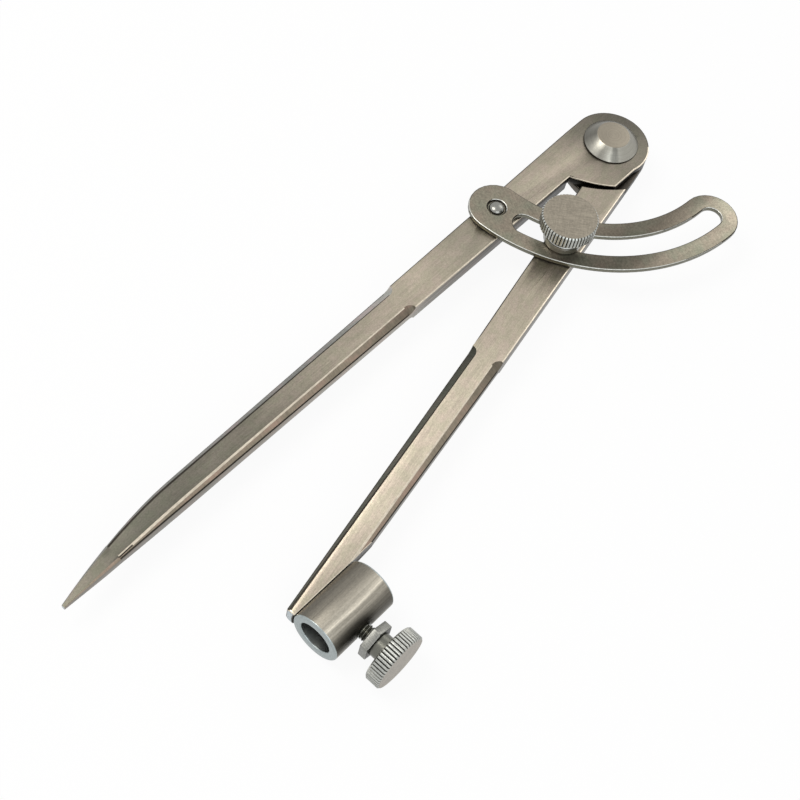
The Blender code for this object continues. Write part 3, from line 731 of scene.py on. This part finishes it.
class COMPASS_OT_wing(bpy.types.Operator):
    """The slotted wing and the small rivet that it swings on"""

    bl_idname = "compass.wing"
    bl_label = "Wing"

    def execute(self, context):
        sizes, colours = context.scene.compass_sizes, context.scene.compass_colours
        wing = worn_copy("wing", "wing_plate")
        round_edges(wing, sizes.plate_edge, 3)
        sheet = satin_sheet("wing_face", tuple(colours.sheet))
        side = nicked_tone("wing_side", tuple(colours.sheet))
        # Painted shade and a painted highlight for the wing's rounded edges
        soiled = nicked_tone("wing_soiled", tuple(colours.soiled))
        edge = nicked_tone("wing_edge", tuple(colours.plate_rim))

        # Upper edges facing -Y, away from the rivet, get the painted highlight; the other rounded edges
        # get painted shade
        def sort(face):
            if face.material_index == EDGE_SLOT:
                in_pocket = (face.center - WING_RIVET_AXIS).length < POCKET_REACH
                highlit = face.normal.z > SLOPED_FACE and face.normal.y < -WING_EDGE_OPEN
                return EDGE_SLOT if highlit and not in_pocket else 2
            return 0 if abs(face.normal.z) > FLAT_FACE else 1

        dress(wing, "wing", "wing_body", [sheet, side, soiled, edge], sort)
        rivet = worn_copy("wing_rivet", "wing_rivet_head")
        bright = turned_finish("wing_rivet_dome", tuple(colours.bright), WING_RIVET_AXIS, 2, 0.2, 0.22)
        dress(rivet, "wing_rivet", "point_leg_body", [bright] * (EDGE_SLOT + 1))
        return {'FINISHED'}


def knurled_knob(name, sizes, radius, height):
    """A knurled head with chamfered rims over a hub. The hub's foot is at the origin, on the Z axis."""
    chamfer = sizes.knob_chamfer
    root = radius - sizes.knurl_depth
    rim = radius - chamfer
    deselect()
    bpy.ops.mesh.primitive_cylinder_add(vertices=sizes.knurl_ribs * RIB_STEPS, radius=radius,
                                        depth=height - 2 * chamfer, end_fill_type='NGON',
                                        location=(0, 0, sizes.hub_length + height / 2))
    knob = bpy.context.object
    knob.name = knob.data.name = name
    bpy.ops.object.transform_apply(location=True, rotation=True, scale=True)
    edit(knob)

    def at_step(vert, wanted):
        turns = math.atan2(vert.co.x, vert.co.y) / math.tau * sizes.knurl_ribs * RIB_STEPS
        return round(turns) % RIB_STEPS in wanted

    def level_is(vert, level):
        return abs(vert.co.z - level) < chamfer / 10

    choose(knob, lambda v: at_step(v, (0,)), 'VERT')
    bpy.ops.transform.resize(value=(root / radius, root / radius, 1))
    shoulder = (radius - sizes.knurl_depth * RIB_SHOULDER_SHARE) / radius
    choose(knob, lambda v: at_step(v, (1, 4)), 'VERT')
    bpy.ops.transform.resize(value=(shoulder, shoulder, 1))
    for up in (1, -1):
        choose(knob, lambda f: f.normal.z * up > FLAT_FACE)
        bpy.ops.mesh.extrude_region_move(TRANSFORM_OT_translate={"value": (0, 0, up * chamfer)})
        level = sizes.hub_length + height / 2 + up * height / 2
        for wanted, now in (((0,), root), ((1, 4), radius * shoulder), ((2, 3), radius)):
            choose(knob, lambda v: at_step(v, wanted) and level_is(v, level), 'VERT')
            bpy.ops.transform.resize(value=(rim / now, rim / now, 1))
    choose(knob, lambda f: f.normal.z < -FLAT_FACE and len(f.verts) > 4)
    bpy.ops.mesh.inset(thickness=rim - sizes.hub_radius - chamfer / 2)
    bpy.ops.mesh.inset(thickness=chamfer / 2, depth=chamfer / 3)
    depth = -(sizes.hub_length - chamfer / 3)
    bpy.ops.mesh.extrude_region_move(TRANSFORM_OT_translate={"value": (0, 0, depth)})
    bpy.ops.mesh.inset(thickness=chamfer / 2, depth=0)
    choose(knob, lambda f: f.normal.z > FLAT_FACE and len(f.verts) > 4)
    bpy.ops.mesh.inset(thickness=chamfer / 4, depth=0)
    bpy.ops.object.mode_set(mode='OBJECT')
    return knob


def threaded_stud(name, sizes, radius, length):
    """A stud with a real thread. Its foot is at the origin, on the Z axis."""
    pitch, depth = sizes.thread_pitch, sizes.thread_depth
    turns = math.ceil(length / pitch) + 2
    first, last = [(share - 1) * pitch for share in THREAD_CREST]
    root = radius - depth
    profile = [(root, 0, -pitch), (radius, 0, first), (radius, 0, last), (root, 0, 0)]
    mesh = bpy.data.meshes.new(name)
    mesh.from_pydata(profile, [(0, 1), (1, 2), (2, 3)], [])
    item = bpy.data.objects.new(name, mesh)
    bpy.context.scene.collection.objects.link(item)
    pick(item)
    winding = item.modifiers.new("winding", 'SCREW')
    winding.axis = 'Z'
    winding.angle = math.tau
    winding.steps = winding.render_steps = THREAD_STEPS
    winding.screw_offset = pitch
    winding.iterations = turns
    winding.use_merge_vertices = True
    winding.merge_threshold = MERGE_DISTANCE
    bpy.ops.object.modifier_apply(modifier=winding.name)
    edit(item)
    bpy.ops.mesh.select_all(action='SELECT')
    bpy.ops.mesh.remove_doubles(threshold=MERGE_DISTANCE)
    for level, up in ((0, -1), (length, 1)):
        bpy.ops.mesh.select_all(action='SELECT')
        bpy.ops.mesh.bisect(plane_co=(0, 0, level), plane_no=(0, 0, up), use_fill=True,
                            clear_outer=True)
    bpy.ops.mesh.select_all(action='SELECT')
    bpy.ops.mesh.normals_make_consistent(inside=False)
    bpy.ops.object.mode_set(mode='OBJECT')
    return item


def settle(item, placement):
    """Moves a piece made on the Z axis to its place and puts the place in its mesh."""
    item.matrix_world = placement
    pick(item)
    bpy.ops.object.transform_apply(location=True, rotation=True, scale=True)


def knob_materials(label, colours, centre, axis, turn):
    """Materials of a thumb screw: ribs and hub, flat face, chamfers."""
    hub = turned_finish(f"{label}_hub", tuple(colours.hub), centre, axis, 0.3, 0.28)
    face = brushed_face(f"{label}_face", tuple(colours.turned), turn)
    crests = nicked_tone(f"{label}_crests", tuple(colours.crest))
    # The grooves are painted dark as shade
    grooves = nicked_tone(f"{label}_grooves", tuple(colours.groove))
    return [hub, face, crests, grooves]


def knob_sort(centre, axis, radius, depth, level):
    """Sorts a knob's faces: hub, outer flat, ribs with their chamfers, and grooves."""
    def sort(face):
        along = face.normal[axis]
        if along > FLAT_FACE and face.center[axis] > level - depth:
            return 1
        across = face.center - centre
        across[axis] = 0
        if across.length < radius - depth * HUB_REACH_SHARE:
            return 0
        if abs(along) > SIDE_FACE:
            return 2
        return 2 if across.length > radius - depth * CREST_REACH_SHARE else 3
    return sort


class COMPASS_OT_lock_screw(bpy.types.Operator):
    """The thumb screw that locks the wing, with its stud and clamp washer"""

    bl_idname = "compass.lock_screw"
    bl_label = "Lock screw"

    def execute(self, context):
        sizes, colours = context.scene.compass_sizes, context.scene.compass_colours
        low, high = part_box("wing_lock_knob")
        radius = (high.x - low.x) / 2
        height = high.z - low.z - sizes.hub_length
        knob = knurled_knob("wing_lock_thumb_screw", sizes, radius, height)
        centre = Vector((LOCK_AXIS.x, LOCK_AXIS.y, 0))
        settle(knob, Matrix.Translation((centre.x, centre.y, low.z)))
        materials = knob_materials("lock", colours, centre, 2, math.radians(35))
        dress(knob, "wing_lock_knob", "lock_screw_head", materials,
              knob_sort(centre, 2, radius, sizes.knurl_depth, high.z))
        washer = worn_copy("wing_clamp_washer", "wing_clamp_collar")
        round_edges(washer, sizes.turned_edge)
        turned = turned_finish("washer_turned", tuple(colours.washer), centre, 2, 0.3, 0.28)
        # The washer's rounded edges are painted dark as shade
        edge = nicked_tone("washer_edge", tuple(colours.soiled))
        dress(washer, "wing_clamp_washer", "lock_screw_shank",
              [turned, turned, turned, edge])
        stud = worn_copy("wing_lock_stud", "wing_lock_shank")
        bright = turned_finish("lock_stud_turned", tuple(colours.bright), centre, 2)
        dress(stud, "wing_lock_stud", "lock_screw_shank", [bright] * (EDGE_SLOT + 1))
        return {'FINISHED'}


class COMPASS_OT_sleeve(bpy.types.Operator):
    """The pencil sleeve"""

    bl_idname = "compass.sleeve"
    bl_label = "Pencil sleeve"

    def execute(self, context):
        sizes, colours = context.scene.compass_sizes, context.scene.compass_colours
        sleeve = worn_copy("pencil_sleeve", "pencil_sleeve_tube")
        round_edges(sleeve, sizes.turned_edge)
        tube = drawn_tube("sleeve_tube", tuple(colours.tube), SLEEVE_AXIS)
        ends = turned_finish("sleeve_end", tuple(colours.end_face), SLEEVE_AXIS, 1, 0.2, 0.40)
        bore = turned_finish("sleeve_bore", tuple(colours.bore), SLEEVE_AXIS, 1, 0.2, 0.30)
        edge = nicked_tone("sleeve_edge", tuple(colours.end_face))

        def sort(face):
            if face.material_index == EDGE_SLOT:
                return EDGE_SLOT
            if abs(face.normal.y) > SLOPED_FACE:
                return 1
            across = math.hypot(face.center.x - SLEEVE_AXIS.x, face.center.z - SLEEVE_AXIS.z)
            return 0 if across > SLEEVE_RADIUS * OUTSIDE_SHARE else 2

        dress(sleeve, "pencil_sleeve", "pencil_leg_body", [tube, ends, bore, edge], sort)
        return {'FINISHED'}


class COMPASS_OT_clamp_screw(bpy.types.Operator):
    """The thumb screw that clamps the pencil, its threaded stud and its lock nut"""

    bl_idname = "compass.clamp_screw"
    bl_label = "Clamp screw"

    def execute(self, context):
        sizes, colours = context.scene.compass_sizes, context.scene.compass_colours
        low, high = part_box("pencil_clamp_knob")
        radius = (high.z - low.z) / 2
        height = high.x - low.x - sizes.hub_length
        turn = Matrix.Rotation(math.pi / 2, 4, 'Y')
        centre = Vector((0, CLAMP_AXIS.y, CLAMP_AXIS.z))
        knob = knurled_knob("pencil_clamp_thumb_screw", sizes, radius, height)
        settle(knob, Matrix.Translation((low.x, centre.y, centre.z)) @ turn)
        materials = knob_materials("clamp", colours, centre, 0, 0.0)
        dress(knob, "pencil_clamp_knob", "clamp_screw_head", materials,
              knob_sort(centre, 0, radius, sizes.knurl_depth, high.x))
        foot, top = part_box("pencil_clamp_stud")
        stud = threaded_stud("pencil_clamp_thread", sizes, (top.z - foot.z) / 2, top.x - foot.x)
        settle(stud, Matrix.Translation((foot.x, centre.y, centre.z)) @ turn)
        bright = turned_finish("clamp_stud_thread", tuple(colours.hub), centre, 0, 0.3, 0.25)
        dress(stud, "pencil_clamp_stud", "clamp_screw_shank", [bright])
        nut = worn_copy("clamp_lock_nut", "clamp_lock_nut_hex")
        round_edges(nut, sizes.turned_edge)
        flats = brushed_face("nut_flats", tuple(colours.bright), 0.0)
        # The nut's two end faces are painted dark as shade
        faces = brushed_face("nut_faces", tuple(colours.soiled), 0.0)
        edge = nicked_tone("nut_edge", tuple(colours.bright))

        def sort(face):
            if face.material_index == EDGE_SLOT:
                return EDGE_SLOT
            return 1 if abs(face.normal.x) > FLAT_FACE else 0

        dress(nut, "clamp_lock_nut", "clamp_nut", [flats, faces, flats, edge], sort)
        return {'FINISHED'}


def aim(item, target):
    """Turns a lamp towards a point."""
    item.rotation_euler = (Vector(target) - item.location).to_track_quat('-Z', 'Y').to_euler()


def seen_directly(tree):
    """1 for rays that show a surface or mirror it or pass through, 0 for those that only light it."""
    rays = tree.nodes.new("ShaderNodeLightPath")
    seen = rays.outputs["Is Camera Ray"]
    for kind in ("Is Glossy Ray", "Is Transmission Ray"):
        either = tree.nodes.new("ShaderNodeMath")
        either.operation = 'MAXIMUM'
        tree.links.new(seen, either.inputs[0])
        tree.links.new(rays.outputs[kind], either.inputs[1])
        seen = either.outputs[0]
    return seen


class COMPASS_OT_stage(bpy.types.Operator):
    """The floor, the soft lamps, the white surroundings and the camera"""

    bl_idname = "compass.stage"
    bl_label = "Stage"

    def execute(self, context):
        context.scene.view_settings.view_transform = 'Standard'
        self.add_floor(context)
        self.surroundings(context)
        self.add_lamps(context)
        self.add_camera(context)
        return {'FINISHED'}

    def add_floor(self, context):
        """A pale floor that keeps a part of the object's shadow."""
        deselect()
        bpy.ops.mesh.primitive_plane_add(size=FLOOR_SIZE, location=(0, 0, CAD_BOX[0].z))
        floor = context.object
        floor.name = "floor"
        n = Nodes("pale_floor")
        n.shader.inputs["Base Color"].default_value = FLOOR_COLOUR
        n.shader.inputs["Roughness"].default_value = FLOOR_ROUGHNESS
        n.shader.inputs["Specular IOR Level"].default_value = 0.0
        glow = n.add("ShaderNodeEmission", {"Color": WHITE, "Strength": 1.0})
        share = n.math('MULTIPLY', seen_directly(n.tree), FLOOR_GLOW_SHARE)
        blend = n.add("ShaderNodeMixShader", {0: share, 1: n.shader.outputs[0], 2: glow.outputs[0]})
        n.feed(n.tree.nodes["Material Output"].inputs["Surface"], blend.outputs[0])
        floor.data.materials.append(n.material)

    def surroundings(self, context):
        """White all round for what is seen, and a plain level for the light itself."""
        world = bpy.data.worlds.new("pale_studio")
        context.scene.world = world
        world.use_nodes = True
        tree = world.node_tree
        ground = tree.nodes["Background"]
        level = tree.nodes.new("ShaderNodeMapRange")
        tree.links.new(seen_directly(tree), level.inputs["Value"])
        level.inputs["To Min"].default_value = WORLD_LEVEL
        level.inputs["To Max"].default_value = 1.0
        tree.links.new(level.outputs[0], ground.inputs["Strength"])
        ground.inputs["Color"].default_value = WHITE

    def add_lamps(self, context):
        """Large soft lamps, all aimed at the middle of the object."""
        for name, place, size, power, colour in LAMPS:
            bpy.ops.object.light_add(type='AREA', location=place)
            lamp = context.object
            lamp.name = f"lamp_{name}"
            lamp.data.size = size
            lamp.data.energy = power
            lamp.data.color = colour
            aim(lamp, LAMP_TARGET)

    def add_camera(self, context):
        """The camera at the photograph's place."""
        bpy.ops.object.camera_add()
        camera = context.object
        camera.data.sensor_width = SENSOR_WIDTH
        camera.data.lens = CAMERA_LENS
        camera.data.clip_start = CLIP_START
        axes = (Vector(CAMERA_RIGHT), -Vector(CAMERA_DOWN), -Vector(CAMERA_AHEAD))
        turn = Matrix(axes).transposed().to_4x4()
        camera.matrix_world = Matrix.Translation(CAMERA_PLACE) @ turn
        context.scene.camera = camera


class COMPASS_PT_panel(bpy.types.Panel):
    """The compass's steps, in the order in which they run"""

    bl_idname = "COMPASS_PT_panel"
    bl_label = "Compass"
    bl_space_type = 'VIEW_3D'
    bl_region_type = 'UI'
    bl_category = "Compass"

    def draw(self, context):
        for operator in OPERATORS:
            self.layout.operator(operator.bl_idname)
        for group in (context.scene.compass_sizes, context.scene.compass_colours):
            for name in group.__annotations__:
                self.layout.prop(group, name)


GROUPS = (CompassSizes, CompassColours)
OPERATORS = (COMPASS_OT_legs, COMPASS_OT_hinge, COMPASS_OT_wing, COMPASS_OT_lock_screw,
             COMPASS_OT_sleeve, COMPASS_OT_clamp_screw, COMPASS_OT_stage)
CLASSES = GROUPS + OPERATORS + (COMPASS_PT_panel,)


def register():
    """Adds the classes and the scene's settings."""
    for item in CLASSES:
        bpy.utils.register_class(item)
    bpy.types.Scene.compass_sizes = PointerProperty(type=CompassSizes)
    bpy.types.Scene.compass_colours = PointerProperty(type=CompassColours)


def unregister():
    """Takes them out again."""
    del bpy.types.Scene.compass_colours
    del bpy.types.Scene.compass_sizes
    for item in reversed(CLASSES):
        bpy.utils.unregister_class(item)


def main():
    """Builds every piece and the stage."""
    register()
    for operator in OPERATORS:
        group, step = operator.bl_idname.split(".")
        getattr(getattr(bpy.ops, group), step)()


if __name__ == "__main__":
    main()
